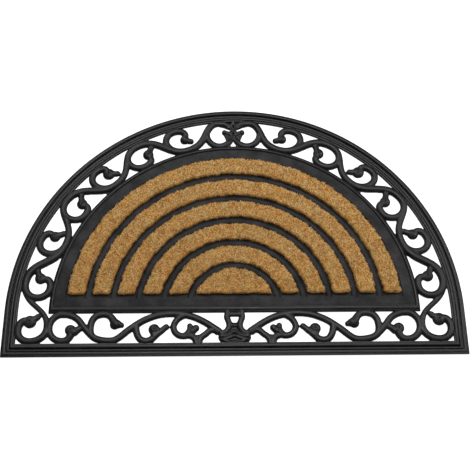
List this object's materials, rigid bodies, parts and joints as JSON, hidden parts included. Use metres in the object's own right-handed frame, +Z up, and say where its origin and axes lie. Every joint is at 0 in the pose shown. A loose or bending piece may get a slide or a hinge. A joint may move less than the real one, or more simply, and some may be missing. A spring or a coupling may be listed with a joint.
{
  "type": "coir doormat",
  "caption": "Half-round rubber doormat with an open scroll border and curved coir inlays for scraping shoes.",
  "frame": {"origin": "on the floor, under the centre of the mat's box", "axes": "+X to the right along the straight front edge, +Y from that edge towards the top of the arc, +Z up"},
  "size_m": [0.75, 0.45, 0.0104],
  "materials": {
    "rubber": "moulded black rubber, matt with a faint satin sheen on the ridges",
    "coir": "short upright coir pile, coarse and golden brown"
  },
  "bodies": {
    "root": {"rubber_mat": "rubber", "coir_arc_1": "coir", "coir_arc_2": "coir", "coir_arc_3": "coir", "coir_arc_4": "coir", "coir_arc_5": "coir", "coir_half_disc": "coir"}
  },
  "joints": []
}
